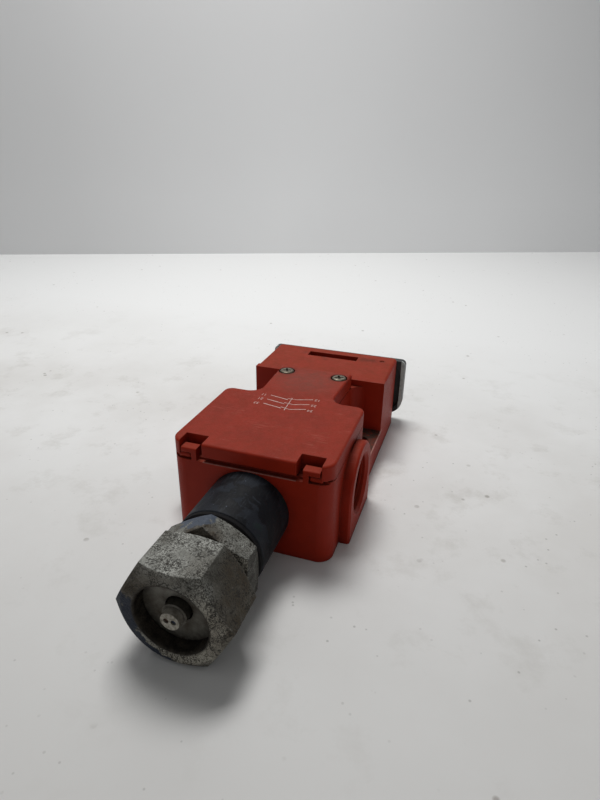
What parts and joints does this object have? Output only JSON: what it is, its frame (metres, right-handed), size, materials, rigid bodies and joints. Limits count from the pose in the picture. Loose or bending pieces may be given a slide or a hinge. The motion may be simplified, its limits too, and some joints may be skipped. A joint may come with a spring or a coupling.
{
  "type": "tongue interlock switch",
  "caption": "Red plastic tongue interlock switch with a T-shaped screw-down lid, a tongue head and a metal cable gland on its near end.",
  "frame": {"origin": "on the mounting face, half-way between the two round fixing holes", "axes": "+X across the switch to the open conduit entry, +Y along the switch from the cable gland to the head, +Z off the mounting face to the lid"},
  "size_m": [0.0607, 0.1475, 0.0333],
  "materials": {
    "red_housing": "satin moulded plastic, faded dark red, dusty",
    "red_lid": "satin moulded plastic, faded red, worn",
    "black_rubber": "matt rubber",
    "plated_steel": "dull zinc plating",
    "bright_steel": "ground steel",
    "dull_steel": "dirty steel",
    "cream_plastic": "satin moulded plastic",
    "black_plastic": "satin moulded plastic",
    "contact_brass": "tinned brass strip",
    "blue_black_paint": "scuffed dark blue paint",
    "cast_grey_metal": "weathered cast metal, pitted",
    "cable_grey": "aged cable sheath",
    "core_brown": "cable insulation",
    "core_blue": "cable insulation",
    "dark_grey_plastic": "dull dark grey plastic, light worn rim"
  },
  "bodies": {
    "switch_body": {"housing": "red_housing", "head_shell": "red_housing", "head_gasket": "black_rubber", "head_screws": "plated_steel", "cam_axle": "bright_steel", "plunger_seal": "black_rubber", "contact_block": "black_plastic", "terminal_straps": "contact_brass", "terminal_screws": "plated_steel", "return_spring": "bright_steel", "entry_plug": "black_plastic", "plug_seal": "black_rubber", "gland_sleeve": "blue_black_paint", "seal_ring": "black_rubber", "gland_body": "cast_grey_metal", "gland_locknut": "plated_steel", "slip_washer": "dull_steel", "cable_grommet": "black_rubber", "cable_jacket": "cable_grey", "cable_core_brown": "core_brown", "cable_core_blue": "core_blue", "end_slot_cover": "dark_grey_plastic"},
    "lid_body": {"lid": "red_lid", "lid_gasket": "black_rubber", "lid_screws": "plated_steel"},
    "cam_body": {"cam_wheel": "cream_plastic"},
    "plunger_body": {"plunger": "bright_steel", "contact_carrier": "cream_plastic", "bridge_contacts": "contact_brass"},
    "nut_body": {"gland_nut": "cast_grey_metal"}
  },
  "joints": [
    {"name": "lid_swing", "type": "hinge", "parent": "switch_body", "child": "lid_body", "pos_m": [0, -0.05865, 0.0282], "axis": [1, 0, 0], "range_deg": [0, 35]},
    {"name": "cam_turn", "type": "hinge", "parent": "switch_body", "child": "cam_body", "pos_m": [0, 0.022, 0.0142], "axis": [-1, 0, 0], "range_deg": [0, 60]},
    {"name": "plunger_travel", "type": "slide", "parent": "switch_body", "child": "plunger_body", "axis": [0, 1, 0], "range_m": [0, 0.003]},
    {"name": "gland_nut_turn", "type": "hinge", "parent": "switch_body", "child": "nut_body", "pos_m": [0, -0.092, 0.0142], "axis": [0, 1, 0], "range_deg": [0, 180]}
  ],
  "couplings": [
    {"joint": "cam_turn", "follows": "plunger_travel", "rad_per_m": 349.07}
  ]
}
